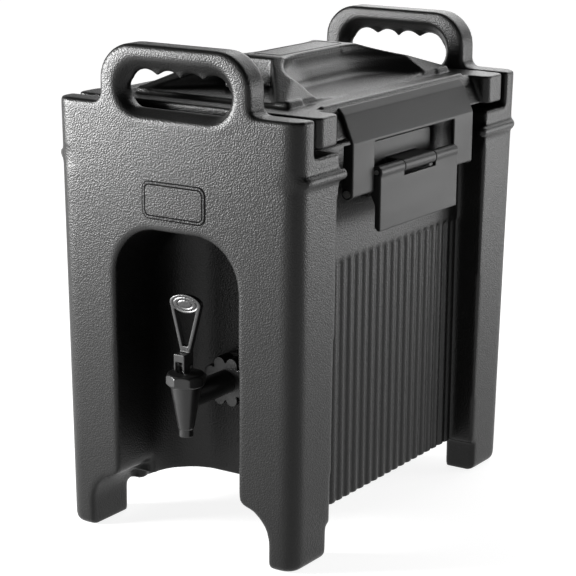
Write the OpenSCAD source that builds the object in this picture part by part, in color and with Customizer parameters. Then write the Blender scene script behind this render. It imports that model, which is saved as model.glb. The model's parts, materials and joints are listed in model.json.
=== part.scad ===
// Insulated beverage dispenser: a double-walled moulded body with two carrying handles, a lid held
// by two draw latches, and a tap in an alcove at the front.
// Millimetres, +Z up, the front towards -Y, origin on the floor under the middle of the body.

/* [Body] */
// Width across the corner posts at the shoulder
body_w = 245; // [240:1:256]
// Depth from the front wall to the rear wall at the shoulder
body_d = 380; // [372:1:396]
// Height of the shoulder beside the handles
shoulder_h = 380; // [376:1:390]
// Radius of the four upright corners
corner_r = 14; // [8:1:18]
// How far each side leans in at the floor
draft = 5; // [1:0.5:7]
// Radius of the edge round the soles
sole_r = 7; // [3:1:10]
// Wall of the moulded shell
shell_t = 5; // [4:0.5:6]
// Thickness of the end walls that carry the handles
end_wall_t = 24; // [22:1:28]
// How far the rim that the lid gasket lies on is below the shoulder
rim_drop = 31.5; // [28:0.5:36]
// Depth of the recess in each long side
recess_depth = 27; // [24:0.5:30]
// Length of each corner post along the long side
post_l = 62; // [58:1:66]
// How far the bead round the corner posts is below the shoulder
bead_drop = 50; // [42:1:58]
// Radius of that bead
bead_r = 5; // [3:0.5:5.5]

/* [Ribs] */
// Ribs on each long side
rib_count = 21; // [15:1:25]
// Height where the ribs end at the top
rib_top = 247; // [200:1:255]
// Height of the lower edge of the ribbed wall
skirt_h = 29; // [24:1:34]
// How far the ribs stand proud of their valleys
rib_depth = 3; // [2:0.25:4]

/* [Feet and alcove] */
// Height of the underside
belly_h = 40; // [36:1:46]
// Length of each foot along the long side
foot_l = 57; // [50:1:60]
// Half width between the rear feet
rear_gap = 86.5; // [80:0.5:92]
// Half width of the arch between the front feet
arch_half = 92; // [88:1:96]
// Height of the front arch
arch_h = 52; // [48:1:56]
// Radius of the arch's upper corners
arch_r = 30; // [24:1:34]
// Radius where the alcove's sides turn into the arch
arch_blend_r = 10; // [6:1:14]
// Half width of the tap alcove
alcove_half = 62.5; // [58:0.5:66]
// How far the top of the alcove is below the shoulder
alcove_drop = 104; // [100:1:112]
// Radius of the alcove's upper corners
alcove_r = 42; // [34:1:50]
// Depth of the alcove from the front wall
alcove_depth = 95; // [90:1:100]
// Radius of the alcove's upright corners at the back
alcove_back_r = 40; // [30:1:46]

/* [Handles] */
// Width of a handle
handle_w = 150; // [140:1:160]
// Height of a handle above the shoulder
handle_rise = 50; // [46:1:56]
// Radius of a handle's upper corners
handle_r = 32; // [24:1:36]
// Radius where a handle meets the shoulder
handle_foot_r = 7; // [4:1:10]
// Width of the hand hole
grip_w = 105; // [100:1:110]
// Height of the hand hole at its ends
grip_h = 25; // [23:1:28]
// Height of the hand hole's lower edge above the shoulder, negative is below it
grip_low = -3; // [-5:0.5:0]
// Distance between neighbouring finger scallops
finger_pitch = 23; // [21:0.5:24]
// Radius of a finger scallop
finger_r = 14; // [13:0.5:15]
// Height of the scallops' centres above the hand hole's lower edge
finger_rise = 17.5; // [16:0.5:19]
// How far the hand hole's lip spreads at each face
grip_flare = 7; // [4:0.5:8]
// How deep the lip runs into the wall
grip_flare_l = 9; // [6:0.5:10]

/* [Tank] */
// Wall of the inner tank
tank_t = 4; // [3:0.5:5]
// Foam between the ribbed walls and the tank
side_foam = 12; // [10:0.5:14]
// Foam between the alcove's back wall and the tank
front_foam = 22; // [18:1:26]
// Width of the rim in front of and behind the tank's mouth
rim_w = 22; // [18:1:26]
// Height of the tank's floor, outside
tank_floor = 110; // [100:1:112]
// Foam between the alcove's top and the tank
roof_foam = 16; // [12:1:20]
// Radius of the tank's upright corners, outside
tank_r = 18; // [12:1:24]

/* [Lid] */
// Height of the gasket that the lid rests on
gasket_h = 6.5; // [5:0.5:8]
// Width of the gasket
gasket_w = 9; // [7:0.5:10]
// Height of the lid's corner tabs
flange_h = 25; // [23:0.5:27]
// Gap between the lid and each end wall
lid_gap = 6; // [4:0.5:8]
// Length of a corner tab
tab_l = 31.5; // [28:0.5:34]
// Radius of the tab corners
tab_r = 7; // [3:0.5:8]
// Height of the ridge above the lid's rim
ridge_h = 30; // [26:1:34]
// Distance from the lid's ends to the ridge's foot
foot_in = 23; // [18:1:28]
// Length of each ramp of the ridge
ramp_l = 77; // [70:1:82]
// Length of the ramps' fall towards the long sides
side_ramp_l = 40; // [34:1:46]
// Height of the step at the ridge's foot
ridge_step = 5; // [3:0.5:6]
// Half width of the ridge at its ends
ridge_half = 76; // [72:1:80]
// Radius of the bar along each of the ridge's four noses
nose_r = 4; // [3:0.25:4.5]
// Half width of the ridge's level top at the middle
plateau_half = 19.5; // [18:0.5:22]
// Radius of the scoops' corners, seen from above
scoop_r = 80; // [74:1:84]
// Distance from the ridge's foot to the scoops
scoop_in = 25; // [21:1:30]
// Half width of the front hollow under the level top
hollow_in = 14; // [12:0.5:16]
// Half width of the front hollow at the ridge's foot
hollow_out = 66; // [60:1:70]
// Wall of the lid
lid_t = 5; // [4:0.5:6]
// Depth of the plug below the lid's rim
plug_h = 20; // [16:1:24]
// Gap between the plug and the tank
plug_gap = 2; // [1.5:0.25:3]
// Radius of the bead beside each latch
lid_bead_r = 2.5; // [1.5:0.25:3]

/* [Vent] */
// Distance of the vent behind the ridge's foot
vent_in = 46; // [42:1:50]
// Height of the front hollow's floor above the lid's rim
hollow_h = 4; // [3:0.5:5]
// Radius of the vent hole
vent_r = 5; // [4:0.25:6]
// Radius of the vent cap
vent_cap_r = 13; // [12:0.5:14]
// Height of the vent cap
vent_cap_h = 8; // [6:0.5:9]

/* [Latch] */
// How far the lever's hinge stands out from the recess
hinge_out = 25.5; // [24:0.5:26.5]
// How far the lever's hinge is below the rim
hinge_drop = 26.5; // [24:0.5:30]
// How far the bail's pivot lies inward of the hinge
pivot_in = 6; // [5:0.5:7]
// How far the bail's pivot lies below the hinge
pivot_down = 13; // [12:0.5:14]
// Radius of the hinge knuckles
knuckle_r = 5.5; // [5:0.25:6.5]
// Radius of the hinge pin
hinge_pin_r = 2; // [1.5:0.25:2.5]
// Width of the fixed middle knuckle
mid_knuckle_w = 54; // [46:1:60]
// Width of the lever
lever_w = 135; // [125:1:145]
// Length of the lever below its hinge
lever_l = 50; // [44:1:52]
// Thickness of the lever and of its side flanges
lever_t = 3.5; // [3:0.25:4]
// Gap between neighbouring moving latch pieces
latch_side_gap = 2; // [1:0.25:3]
// Width of each leg of the bail
bail_leg_w = 35; // [30:1:38]
// Thickness of the bail
bail_t = 3; // [2.5:0.25:3.5]
// How far the bail's legs are inward of the hinge
bail_in = 0.5; // [0:0.25:1.5]
// How far above the rim the bail bends inward over the lid
bend_rise = 2.5; // [1:0.5:4]
// Length of the bail's sloping plate
slope_l = 25; // [23:0.5:27]
// Length of the bail's curled edge
curl_l = 8; // [6:0.5:9]
// Gap between the closed bail and the lid
latch_gap = 0.5; // [0.4:0.1:0.8]
// Thickness of the latch base
base_t = 10; // [8:0.5:12]
// Half width of the latch base
base_half = 53; // [50:1:56]
// Lower edge of the latch base, below the hinge
base_drop = 26; // [24:1:30]
// Upper edge of the latch base, above the hinge
base_rise = 22; // [20:1:24]
// Radius of the latch screws
screw_r = 2; // [1.5:0.25:2.5]

/* [Tap] */
// Height of the tap's shank
shank_z = 131; // [126:1:134]
// Distance of the tap's upright axis in front of the alcove's back wall
tap_reach = 77; // [74:1:82]
// Radius of the shank
shank_r = 8; // [7:0.5:8.5]
// Radius of the shank's bore
shank_bore_r = 5; // [4:0.5:5.5]
// Radius of the large nut, across its lobes
nut_r = 23; // [21:0.5:25]
// Thickness of the large nut
nut_t = 16; // [13:0.5:18]
// Lobes round the large nut
nut_lobes = 8; // [6:1:9]
// Thickness of the washers beside the wall
washer_t = 3; // [2:0.5:4]
// Radius of the tap's body at the top
tap_r = 13.5; // [13:0.25:15]
// Radius of the tap's body at the lower end
tap_low_r = 6.8; // [6.5:0.1:7.5]
// Height of the tap's upper edge above the shank
tap_rise = 11.5; // [11:0.5:13]
// Length of the tap's tapered body
tap_l = 38; // [36:1:40]
// Length of the nozzle
nozzle_l = 7; // [5:0.5:9]
// Radius of the nozzle
nozzle_r = 6.2; // [5.6:0.1:6.4]
// Radius of the outlet
outlet_r = 4.4; // [3.5:0.1:4.6]
// Radius of the chamber in the tap
chamber_r = 8.5; // [8:0.25:9]
// Height of the bonnet
bonnet_h = 11; // [9:0.5:12]
// Width of the bonnet across its flats
bonnet_af = 32; // [30:0.5:34]
// Flats round the bonnet
bonnet_flats = 8; // [6:1:10]
// Radius of the stem
stem_r = 3; // [2.5:0.25:3.5]
// Rise of the stem when the tap is open
stem_lift = 5; // [4:0.5:5]
// Height of the handle's pin above the bonnet
pin_rise = 6; // [5:0.5:7]
// Radius of the handle's pin
handle_pin_r = 1.5; // [1:0.25:1.75]
// Width of the handle's fork
fork_w = 11; // [10:0.5:12]
// Height of the handle's loop
loop_h = 50; // [46:1:54]
// Half width of the loop's pad
pad_half = 16; // [14:0.5:18]
// Half height of the loop's pad
pad_rise = 8; // [7:0.5:9]
// Half width of the loop's neck
neck_half = 4.5; // [4:0.25:5]
// Width of the loop's arms
loop_arm = 3.6; // [3:0.2:4.5]
// Thickness of the loop
loop_t = 5; // [4:0.5:6]
// Thickness of the handle at its pin
handle_t = 7; // [6:0.5:8]
// Turns of the return spring
spring_turns = 4; // [3:1:5]
// Diameter of the spring wire
spring_wire = 1.2; // [1:0.1:1.4]

/* [Hidden] */
$fn = 64;

// Small amounts shared by all pieces
past = 1;
run_gap = 0.06;
seat_gap = 0.3;
hull_fn = 32;

// Places that several pieces share
half_w = body_w / 2;
half_d = body_d / 2;
bay_half = half_d - end_wall_t;
recess_x = half_w - recess_depth;
recess_half = half_d - post_l;
alcove_y = -half_d + alcove_depth;
alcove_top = shoulder_h - alcove_drop;
handle_top = shoulder_h + handle_rise;
rim_h = shoulder_h - rim_drop;
bead_h = shoulder_h - bead_drop;
mouth_half = bay_half - rim_w;
hinge_x = recess_x + hinge_out;
hinge_z = rim_h - hinge_drop;

// Foam space between shell and tank
space_x = recess_x - rib_depth - shell_t;
space_front = alcove_y + shell_t;
space_rear = half_d - draft - shell_t - past;
space_floor = belly_h + shell_t;
space_roof = rim_h - shell_t;
space_shelf = alcove_top + shell_t;
space_pier = arch_h + 2 * shell_t;
post_space_x = half_w - draft - shell_t;
post_space_in = alcove_half + shell_t;
tank_x = space_x - side_foam;
tank_front = space_front + front_foam;
tank_shelf = space_shelf + roof_foam;

// Lid levels
lid_z = rim_h + gasket_h;
lid_top = lid_z + flange_h;
ridge_top = lid_top + ridge_h;
lid_half = bay_half - lid_gap;
tab_inner = lid_half - tab_l;
ridge_foot = lid_half - foot_in;
ridge_flat = ridge_foot - ramp_l;
scoop_half = ridge_foot - scoop_in;
gasket_x = (tank_x + recess_x) / 2;
gasket_y = (mouth_half + bay_half) / 2;
lid_space_x = gasket_x + gasket_w / 2;
lid_space_y = gasket_y - gasket_w / 2;
liner_x = lid_space_x - seat_gap;
liner_y = lid_space_y - seat_gap;
plug_x = tank_x - tank_t - plug_gap;
plug_y = mouth_half - tank_t - plug_gap;
plug_r = tank_r - tank_t - plug_gap;
hollow_z = lid_top + hollow_h;
vent_y = ridge_foot - vent_in;
vent_tube_r = vent_r + lid_t / 2;
vent_flange_h = 2;
vent_flange_r = 10;
vent_seal_h = 1;

// Bail profile: upright leg, sloping plate, curled edge, each given by its lean from upright
slope_lean = 22.5;
curl_lean = 40;
bail_x = hinge_x - bail_in;
bend_z = rim_h + bend_rise;
bail_half = lever_w / 2 + latch_side_gap + bail_leg_w;
bail_open_half = bail_half - bail_leg_w;
pivot_x = hinge_x - pivot_in;
pivot_z = hinge_z - pivot_down;
bail_eye_r = 5.2;
bail_pin_r = 2.2;
leg_low = pivot_z - bail_eye_r / 2;
base_front = recess_x + base_t;

// Tap places
tap_y = alcove_y - tap_reach;
tap_top = shank_z + tap_rise;
tap_low = tap_top - tap_l;
seat_z = tap_low + tap_l / 3;
bonnet_top = tap_top + bonnet_h;
handle_pin_z = bonnet_top + pin_rise;
nut_front = alcove_y - washer_t - nut_t;
bonnet_wall = 3;
cup_h = 5;
tail_in = 6;
shank_tip = tap_y + tap_r + tail_in;
flange_out = 6;
spring_low = seat_z + cup_h;
spring_high = bonnet_top - bonnet_wall;
spring_r = 5.2;
fork_h = 12;
fork_top = handle_pin_z + fork_h;
loop_top = fork_top + loop_h;
pad_z = loop_top - pad_rise;

// Flat shapes

// Rectangle with round corners, centred
module soft_square(w, d, r) {
    square([w - 2 * r, d], center = true);
    square([w, d - 2 * r], center = true);
    for (sx = [-1, 1], sy = [-1, 1]) translate([sx * (w / 2 - r), sy * (d / 2 - r)]) circle(r);
}

// Points on an arc about a centre, in degrees
function arc(c, r, from, to, steps = 8) =
    [for (i = [0 : steps]) let (a = from + (to - from) * i / steps) c + r * [cos(a), sin(a)]];

// Points of an oval about the origin
function oval(a, b, steps = 40) =
    [for (i = [0 : steps - 1]) let (t = 360 * i / steps) [a * cos(t), b * sin(t)]];

// Direction of a line that leans inward from upright
function lean(a) = [-sin(a), cos(a)];

// Corner points of the bail's profile, moved inward by t
function bail_line(t, low) =
    let (
        bend = [bail_x, bend_z],
        turn = bend + slope_l * lean(slope_lean),
        tip = turn + curl_l * lean(curl_lean),
        m0 = slope_lean / 2,
        m1 = (slope_lean + curl_lean) / 2
    )
    [
        [bail_x - t, low],
        bend - t / cos(m0) * [cos(m0), sin(m0)],
        turn - t / cos(curl_lean - m1) * [cos(m1), sin(m1)],
        tip - t * [cos(curl_lean), sin(curl_lean)]
    ];

function flipped(points) = [for (i = [len(points) - 1 : -1 : 0]) points[i]];

// Solids that run along one axis

// Flat shape drawn in X and Z, pushed along Y from y0 to y1
module along_y(y0, y1) {
    translate([0, y1, 0]) rotate([90, 0, 0]) linear_extrude(y1 - y0) children();
}

// Flat shape drawn in Y and Z, pushed along X from x0 to x1
module along_x(x0, x1) {
    translate([x0, 0, 0]) rotate([90, 0, 90]) linear_extrude(x1 - x0) children();
}

// Round bar or bore along Y, at x and z
module rod_y(r, y0, y1, x = 0, z = 0) {
    translate([x, y1, z]) rotate([90, 0, 0]) cylinder(r = r, h = y1 - y0);
}

// Round bar or bore along X, at y and z
module rod_x(r, x0, x1, y = 0, z = 0) {
    translate([x0, y, z]) rotate([0, 90, 0]) cylinder(r = r, h = x1 - x0);
}

// Box between two corners
module span(a, b) {
    translate(a) cube(b - a);
}

// The same shape on both long sides
module both_sides() {
    children();
    mirror([1, 0, 0]) children();
}

module both_ends() {
    children();
    mirror([0, 1, 0]) children();
}

// Outer shell

// Outer block with leaning sides and round soles
module block() {
    sole = min(sole_r, corner_r - past);
    slice = 0.01;
    hull() for (sx = [-1, 1], sy = [-1, 1]) {
        translate([sx * (half_w - corner_r), sy * (half_d - corner_r), shoulder_h - past])
            cylinder(r = corner_r, h = past, $fn = hull_fn);
        for (a = [0 : 30 : 90])
            translate([
                sx * (half_w - draft - corner_r),
                sy * (half_d - draft - corner_r),
                sole * (1 - sin(a))
            ]) cylinder(r = corner_r - sole * (1 - cos(a)), h = slice, $fn = hull_fn);
    }
}

// Opening of the alcove and the arch below it, seen from the front
module alcove_outline() {
    blend_bite = 5;
    blend_x = alcove_half + arch_blend_r;
    arch_cx = arch_half - arch_r;
    arch_cz = arch_h - arch_r;
    blend_z = arch_cz + sqrt(pow(arch_r + arch_blend_r, 2) - pow(blend_x - arch_cx, 2));
    aim = atan2(arch_cz - blend_z, arch_cx - blend_x) - blend_bite;
    touch = [blend_x, blend_z] + (arch_blend_r + past) * [cos(aim), sin(aim)];
    for (s = [-1, 1]) scale([s, 1]) {
        difference() {
            polygon([
                [alcove_half - past, arch_cz],
                touch,
                [blend_x, blend_z],
                [alcove_half - past, blend_z]
            ]);
            translate([blend_x, blend_z]) circle(arch_blend_r);
        }
        translate([alcove_half - alcove_r, alcove_top - alcove_r]) circle(alcove_r);
        translate([arch_cx, arch_cz]) circle(arch_r);
    }
    translate([-alcove_half, arch_cz]) square([2 * alcove_half, alcove_top - alcove_r - arch_cz]);
    translate([alcove_r - alcove_half, arch_cz])
        square([2 * (alcove_half - alcove_r), alcove_top - arch_cz]);
    translate([-arch_cx, arch_cz]) square([2 * arch_cx, arch_r]);
    translate([-arch_half, -past]) square([2 * arch_half, arch_cz + past]);
}

// Alcove with round upright corners at the back
module alcove() {
    intersection() {
        along_y(-half_d - past, alcove_y) alcove_outline();
        union() {
            translate([0, 0, -past]) linear_extrude(alcove_top + 2 * past)
                translate([0, alcove_y - alcove_depth])
                soft_square(2 * alcove_half, 2 * alcove_depth, alcove_back_r);
            span(
                [-half_w, -half_d - past, -past],
                [half_w, alcove_y - alcove_back_r, alcove_top + past]
            );
            span([-half_w, -half_d - past, -past], [half_w, alcove_y, belly_h]);
        }
    }
}

// Space under the body, between the feet
module under_space() {
    foot_in = half_d - foot_l;
    span([-half_w, -foot_in, -past], [half_w, foot_in, skirt_h]);
    along_y(alcove_y - past, half_d + past) {
        translate([-rear_gap, -past]) square([2 * rear_gap, belly_h - arch_r / 2 + past]);
        translate([0, belly_h - arch_r / 2]) soft_square(2 * rear_gap, arch_r, arch_r / 2 - past);
    }
}

// Upright half-round ribs of one long side
module ribs() {
    pitch = 2 * recess_half / rib_count;
    rib_r = (pitch * pitch / 4 + rib_depth * rib_depth) / (2 * rib_depth);
    for (i = [0 : rib_count - 1])
        translate([recess_x - rib_r, -recess_half + (i + 0.5) * pitch, skirt_h])
            cylinder(r = rib_r, h = rib_top - skirt_h);
}

// Half-round bead along the posts, round the rear wall and part of the way round the front corners
module post_bead() {
    lean_in = draft * (shoulder_h - bead_h) / shoulder_h;
    x = half_w - lean_in - bead_r / 4;
    y = half_d - lean_in - bead_r / 4;
    bead_end = recess_half - bead_r;
    front_turn = 50;
    reach = 2 * (corner_r + bead_r);
    difference() {
        both_sides() both_ends() {
            rod_y(bead_r, bead_end, y - corner_r, x, bead_h);
            translate([x, bead_end, bead_h]) sphere(bead_r);
            translate([x - corner_r, y - corner_r, bead_h])
                rotate_extrude(angle = 90) translate([corner_r, 0]) circle(bead_r);
        }
        both_sides() translate([x - corner_r, corner_r - y, bead_h - 2 * bead_r])
            rotate(-front_turn) translate([0, -reach, 0]) cube([reach, reach, 4 * bead_r]);
    }
    rod_x(bead_r, -x + corner_r, x - corner_r, y, bead_h);
}

// Outline of one handle, with round feet on the shoulder
module handle_outline() {
    side = handle_w / 2;
    low = shoulder_h - past;
    for (s = [-1, 1]) scale([s, 1]) {
        translate([side - handle_r, handle_top - handle_r]) circle(handle_r);
        difference() {
            translate([side - past, shoulder_h - past]) square(handle_foot_r + past);
            translate([side + handle_foot_r, shoulder_h + handle_foot_r]) circle(handle_foot_r);
        }
    }
    translate([-side, low]) square([handle_w, handle_top - handle_r - low]);
    translate([handle_r - side, low]) square([handle_w - 2 * handle_r, handle_top - low]);
}

// Hand hole with finger scallops along its upper edge
module grip_outline() {
    z0 = shoulder_h + grip_low;
    end_r = grip_h / 2 - grip_h / 100;
    fingers = 4;
    translate([0, z0 + grip_h / 2]) soft_square(grip_w, grip_h, end_r);
    for (i = [0 : fingers - 1])
        translate([(i - (fingers - 1) / 2) * finger_pitch, z0 + finger_rise]) circle(finger_r);
}

// Flare of the hand hole towards the face at y = 0, wider above the fingers than below
module grip_flare_cut() {
    low = shoulder_h + grip_low;
    top = low + finger_rise + finger_r;
    lip_low = low - grip_flare;
    lip_top = top + grip_flare * 1.5;
    hull() {
        grip_slot(grip_w / 2 + grip_flare, lip_low, lip_top, -past, 0);
        grip_slot(grip_w / 2, low, top, grip_flare_l, grip_flare_l + past);
    }
}

// Round-ended slot between two heights
module grip_slot(half, low, top, y0, y1) {
    r = (top - low) / 2;
    for (s = [-1, 1]) translate([s * (half - r), y1, low + r])
        rotate([90, 0, 0]) cylinder(r = r, h = y1 - y0, $fn = hull_fn);
}

// Handle hole through an end wall, flared at both faces
module grip_cut() {
    along_y(-half_d - past, -bay_half + past) grip_outline();
    translate([0, -half_d, 0]) grip_flare_cut();
    translate([0, -bay_half, 0]) mirror([0, 1, 0]) grip_flare_cut();
}

// Space that the foam fills, with the tank in it
module foam_space(shrink = 0) {
    roof = space_roof - shrink;
    rear = space_rear - shrink;
    wide = post_space_x - shrink;
    narrow = space_x - shrink;
    post = recess_half + shell_t + shrink;
    span([-narrow, space_front + shrink, space_floor + shrink], [narrow, rear, roof]);
    span([-narrow, -rear, space_shelf + shrink], [narrow, space_front + past, roof]);
    span([-wide, post, space_floor + shrink], [wide, rear, roof]);
    both_sides() {
        span([post_space_in + shrink, -rear, space_pier + shrink], [wide, -post, roof]);
        span(
            [post_space_in + shrink, -post - past, space_pier + shrink],
            [narrow, space_front + shrink + past, roof]
        );
    }
}

// Tank's outer form, grown by a gap, or its inner form with a negative one
module tank_form(grow, top) {
    w = 2 * (tank_x + grow);
    r = tank_r + grow;
    low_l = mouth_half - tank_front + 2 * grow;
    translate([0, (mouth_half + tank_front) / 2, tank_floor - grow])
        linear_extrude(top - tank_floor + grow) soft_square(w, low_l, r);
    translate([0, 0, tank_shelf - grow])
        linear_extrude(top - tank_shelf + grow) soft_square(w, 2 * (mouth_half + grow), r);
}

module outer_shell() {
    color("#2b2b2b") difference() {
        union() {
            difference() {
                block();
                span([-half_w - past, -bay_half, rim_h], [half_w + past, bay_half, handle_top]);
                both_sides() {
                    span([recess_x, -recess_half, -past], [half_w + past, recess_half, rim_h + past]);
                    span(
                        [recess_x - rib_depth + seat_gap, -recess_half, -past],
                        [half_w, recess_half, rib_top]
                    );
                }
                alcove();
                under_space();
            }
            intersection() {
                both_sides() ribs();
                span([-half_w, -recess_half, skirt_h], [half_w, recess_half, rib_top]);
            }
            both_ends() along_y(-half_d, -bay_half) handle_outline();
            difference() {
                post_bead();
                both_sides() span(
                    [0, -recess_half + bead_r * 2, 0],
                    [recess_x, recess_half - bead_r * 2, rim_h]
                );
            }
        }
        both_ends() grip_cut();
        foam_space();
        tank_form(seat_gap, rim_h + past);
        rod_y(shank_r + run_gap, alcove_y - past, space_front + past, 0, shank_z);
        both_sides() latch_screw_places() rod_x(screw_r + run_gap, space_x - past, recess_x + past);
    }
}

module foam_core() {
    color("#d9c88f") difference() {
        foam_space(seat_gap);
        tank_form(seat_gap, rim_h + past);
        rod_y(shank_r + seat_gap, space_front - past, tank_front + past, 0, shank_z);
        both_sides() latch_screw_places()
            rod_x(screw_r + seat_gap, space_x - 2 * screw_r, space_x + past);
    }
}

module inner_tank() {
    color("#3a3a3a") difference() {
        tank_form(0, rim_h);
        tank_form(-tank_t, rim_h + past);
        rod_y(shank_r + run_gap, tank_front - past, tank_front + tank_t + past, 0, shank_z);
    }
}

// Lid

// Section of the lid between the latches, seen from the front
module lid_section() {
    edge = bail_line(bail_t + latch_gap, lid_z);
    out = edge[1] + (lid_z - edge[1][1]) / cos(slope_lean) * lean(slope_lean);
    right = [out, edge[2], edge[3], [edge[3][0] - (lid_top - edge[3][1]), lid_top]];
    polygon(concat(right, [for (p = flipped(right)) [-p[0], p[1]]]));
}

// Ramps of the ridge, seen from the side
module ridge_side() {
    polygon([
        [-ridge_foot, lid_top - past],
        [-ridge_foot, lid_top + ridge_step],
        [-ridge_flat, ridge_top],
        [ridge_flat, ridge_top],
        [ridge_foot, lid_top + ridge_step],
        [ridge_foot, lid_top - past]
    ]);
}

// Fall of the ramps towards the long sides, seen from the front
module ridge_front() {
    brink = ridge_half - side_ramp_l;
    polygon([
        [-ridge_half, lid_top - past],
        [-ridge_half, lid_top + ridge_step],
        [-brink, ridge_top + past],
        [brink, ridge_top + past],
        [ridge_half, lid_top + ridge_step],
        [ridge_half, lid_top - past]
    ]);
}

// Space of a scoop over its depth: a cove under the plateau, a lip, a second cove and a falling floor
module scoop_section() {
    brow_h = 3;
    lip_in = 10;
    lip_z = lid_top + ridge_h * 2 / 5;
    floor_in = 19;
    floor_z = lid_top + 3.5;
    upper_r = lip_in + brow_h;
    upper_end = 242;
    lower_r = (floor_in - lip_in) * 4 / 5;
    lower_start = 188;
    low = lid_top - seat_gap;
    polygon(concat(
        [[0, ridge_top + 2 * past], [0, ridge_top - brow_h]],
        arc([upper_r, ridge_top - brow_h], upper_r, 180, upper_end, 6),
        [[lip_in, lip_z]],
        arc([floor_in, floor_z + lower_r], lower_r, lower_start, 270, 6),
        [[ridge_half - plateau_half + past, low], [scoop_r, low], [scoop_r, ridge_top + 2 * past]]
    ));
}

// Scoop along one side of the ridge, with quarter turns at its ends
module scoop() {
    straight = scoop_half - scoop_r;
    cx = plateau_half + scoop_r;
    along_y(-straight, straight) translate([plateau_half, 0]) scoop_section();
    both_ends() translate([cx, straight, 0]) rotate([0, 0, 90])
        rotate_extrude(angle = 90) translate([scoop_r, 0]) mirror([1, 0]) scoop_section();
}

// Hollow between the two front noses of the ridge, open to the front, where the vent is
module front_hollow() {
    back = -ridge_flat - lid_t;
    front = -ridge_foot - past;
    translate([0, 0, hollow_z]) linear_extrude(ridge_h)
        polygon([[-hollow_in, back], [-hollow_out, front], [hollow_out, front], [hollow_in, back]]);
}

// Ridge with scooped sides, four noses with a round bar on each, and a hollow in front
module ridge() {
    line_r = 1.2;
    line_half = ridge_flat - 3 * line_r;
    line_drop = 5;
    bar_x = ridge_half - nose_r / 2;
    bar_z = lid_top + ridge_step / 2;
    bar_in = scoop_half + nose_r;
    bar_out = ridge_foot - nose_r;
    difference() {
        intersection() {
            along_x(-ridge_half, ridge_half) ridge_side();
            along_y(-ridge_foot, ridge_foot) ridge_front();
        }
        both_sides() scoop();
        both_sides() rod_y(line_r, -line_half, line_half, plateau_half, ridge_top - line_drop);
        front_hollow();
    }
    both_sides() both_ends() {
        rod_y(nose_r, bar_in, bar_out, bar_x, bar_z);
        for (y = [bar_in, bar_out]) translate([bar_x, y, bar_z]) sphere(nose_r);
    }
}

// Corner tabs at both ends of the lid, joined by the end bar
module lid_ends() {
    both_ends() translate([0, (lid_half + tab_inner) / 2, lid_z])
        linear_extrude(flange_h) soft_square(2 * half_w - 2 * seat_gap, tab_l, tab_r);
}

module lid_shell() {
    bead_end = tab_inner - 4 * lid_bead_r;
    edge = bail_line(bail_t + latch_gap, lid_z);
    bead_x = edge[3][0] - 2 * lid_bead_r;
    color("#303030") difference() {
        union() {
            along_y(-tab_inner - past, tab_inner + past) lid_section();
            lid_ends();
            ridge();
            both_sides() {
                rod_y(lid_bead_r, -bead_end, bead_end, bead_x, lid_top);
                both_ends() translate([bead_x, bead_end, lid_top]) sphere(lid_bead_r);
            }
        }
        span([-lid_space_x, -lid_space_y, lid_z - past], [lid_space_x, lid_space_y, lid_top - lid_t]);
        translate([0, -vent_y, lid_z]) cylinder(r = vent_tube_r + run_gap, h = hollow_z - lid_z + past);
    }
}

// Pan under the lid, with the plug that enters the tank's mouth
module lid_liner() {
    color("#3a3a3a") difference() {
        union() {
            span([-liner_x, -liner_y, lid_z], [liner_x, liner_y, lid_z + tank_t]);
            translate([0, 0, lid_z - plug_h]) linear_extrude(plug_h + past)
                soft_square(2 * plug_x, 2 * plug_y, plug_r);
        }
        translate([0, 0, lid_z - plug_h + tank_t]) linear_extrude(plug_h + past)
            soft_square(2 * (plug_x - tank_t), 2 * (plug_y - tank_t), plug_r - tank_t / 2);
        translate([0, -vent_y, lid_z - plug_h - past])
            cylinder(r = vent_tube_r + run_gap, h = plug_h + tank_t + 2 * past);
    }
}

module lid_foam() {
    color("#d9c88f") difference() {
        union() {
            span(
                [-liner_x, -liner_y, lid_z + tank_t + seat_gap],
                [liner_x, liner_y, lid_top - lid_t - seat_gap]
            );
            translate([0, 0, lid_z - plug_h + tank_t + seat_gap]) linear_extrude(plug_h)
                soft_square(
                    2 * (plug_x - tank_t - seat_gap),
                    2 * (plug_y - tank_t - seat_gap),
                    plug_r - tank_t / 2
                );
        }
        translate([0, -vent_y, lid_z - plug_h])
            cylinder(r = vent_tube_r + seat_gap, h = plug_h + flange_h);
    }
}

module lid_gasket() {
    color("#8c8c86") translate([0, 0, rim_h]) linear_extrude(gasket_h) difference() {
        soft_square(2 * gasket_x + gasket_w, 2 * gasket_y + gasket_w, tank_r);
        soft_square(2 * gasket_x - gasket_w, 2 * gasket_y - gasket_w, tank_r - gasket_w);
    }
}

// Tube through the lid, with a flange on the hollow's floor
module vent_bush() {
    low = lid_z - plug_h;
    color("#3f3f3f") translate([0, -vent_y, 0]) difference() {
        union() {
            translate([0, 0, low]) cylinder(r = vent_tube_r, h = hollow_z - low);
            translate([0, 0, hollow_z]) cylinder(r = vent_flange_r, h = vent_flange_h);
        }
        translate([0, 0, low - past]) cylinder(r = vent_r, h = hollow_z - low + 2 * vent_flange_h);
    }
}

// Cap with grip notches and a stub that plugs the tube
module vent_cap() {
    z = hollow_z + vent_flange_h + vent_seal_h;
    notches = 12;
    notch_r = 1.8;
    notch_low = 1.5;
    stub_l = 14;
    color("#262626") translate([0, -vent_y, 0]) {
        difference() {
            translate([0, 0, z]) cylinder(r = vent_cap_r, h = vent_cap_h);
            for (i = [0 : notches - 1]) rotate(i * 360 / notches)
                translate([vent_cap_r + notch_r / 3, 0, z + notch_low])
                cylinder(r = notch_r, h = vent_cap_h);
        }
        translate([0, 0, z - stub_l]) cylinder(r = vent_r - run_gap, h = stub_l + past);
    }
}

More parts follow.
